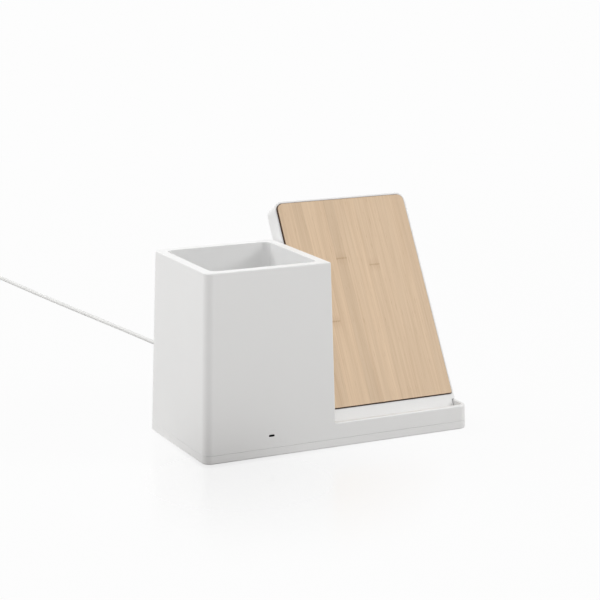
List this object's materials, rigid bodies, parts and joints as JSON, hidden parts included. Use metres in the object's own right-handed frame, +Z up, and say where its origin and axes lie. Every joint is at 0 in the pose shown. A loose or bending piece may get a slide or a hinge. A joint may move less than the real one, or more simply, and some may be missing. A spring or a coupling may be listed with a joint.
{
  "type": "pen holder with wireless charger",
  "caption": "White desk pen cup on a low base with a leaning wireless charging backrest faced in bamboo, and a thin USB cable that plugs in behind.",
  "frame": {"origin": "on the table, under the middle of the holder's own box, the cable left out", "axes": "+X along the front from the pen cup to the charging backrest, +Y from the front to the back, +Z up"},
  "size_m": [0.1526, 0.5366, 0.1154],
  "materials": {
    "white_satin": "satin moulded ABS",
    "bamboo": "sanded and oiled bamboo with a burnt edge",
    "rubber_pad": "matte",
    "screw_steel": "zinc plated",
    "plug_steel": "nickel plated",
    "copper_wire": "enamelled copper strand",
    "ferrite": "pressed ferrite",
    "grey_plastic": "moulded",
    "black_plastic": "moulded epoxy",
    "ivory_plastic": "moulded",
    "clear_plastic": "clear acrylic",
    "ceramic": "fired ceramic with tinned ends",
    "solder_mask": "green solder mask",
    "white_jacket": "soft white jacket",
    "tie_fabric": "woven hook and loop tie"
  },
  "bodies": {
    "holder": {"housing": "white_satin", "base_cover": "white_satin", "foot_pad_1": "rubber_pad", "foot_pad_2": "rubber_pad", "foot_pad_3": "rubber_pad", "foot_pad_4": "rubber_pad", "cover_screw_1": "screw_steel", "cover_screw_2": "screw_steel", "cover_screw_3": "screw_steel", "cover_screw_4": "screw_steel", "backrest_housing": "white_satin", "bamboo_plate": "bamboo", "backrest_rear_cover": "white_satin", "backrest_screw_1": "screw_steel", "backrest_screw_2": "screw_steel", "backrest_screw_3": "screw_steel", "backrest_screw_4": "screw_steel", "stand_screw_1": "screw_steel", "stand_screw_2": "screw_steel", "charging_coil": "copper_wire", "ferrite_sheet": "ferrite", "coil_carrier": "grey_plastic", "thermistor": "grey_plastic", "coil_lead": "black_plastic", "circuit_board": "solder_mask", "board_screw_1": "screw_steel", "board_screw_2": "screw_steel", "board_screw_3": "screw_steel", "board_screw_4": "screw_steel", "coil_connector": "ivory_plastic", "controller_chip": "black_plastic", "power_inductor": "ferrite", "filter_capacitor_1": "ceramic", "filter_capacitor_2": "ceramic", "filter_capacitor_3": "ceramic", "filter_capacitor_4": "ceramic", "status_led": "ivory_plastic", "light_pipe": "clear_plastic", "usb_socket": "plug_steel"},
    "cable": {"plug_shell": "plug_steel", "plug_grip": "white_jacket", "strain_relief": "white_jacket", "cable_run": "white_jacket", "cable_coil": "white_jacket", "cable_tail": "white_jacket", "cable_tie": "tie_fabric", "supply_strain_relief": "white_jacket", "supply_plug_grip": "white_jacket", "supply_plug_shell": "plug_steel"}
  },
  "joints": [
    {"name": "plug_pull", "type": "slide", "parent": "holder", "child": "cable", "axis": [0, 1, 0], "range_m": [0, 0.008]}
  ]
}
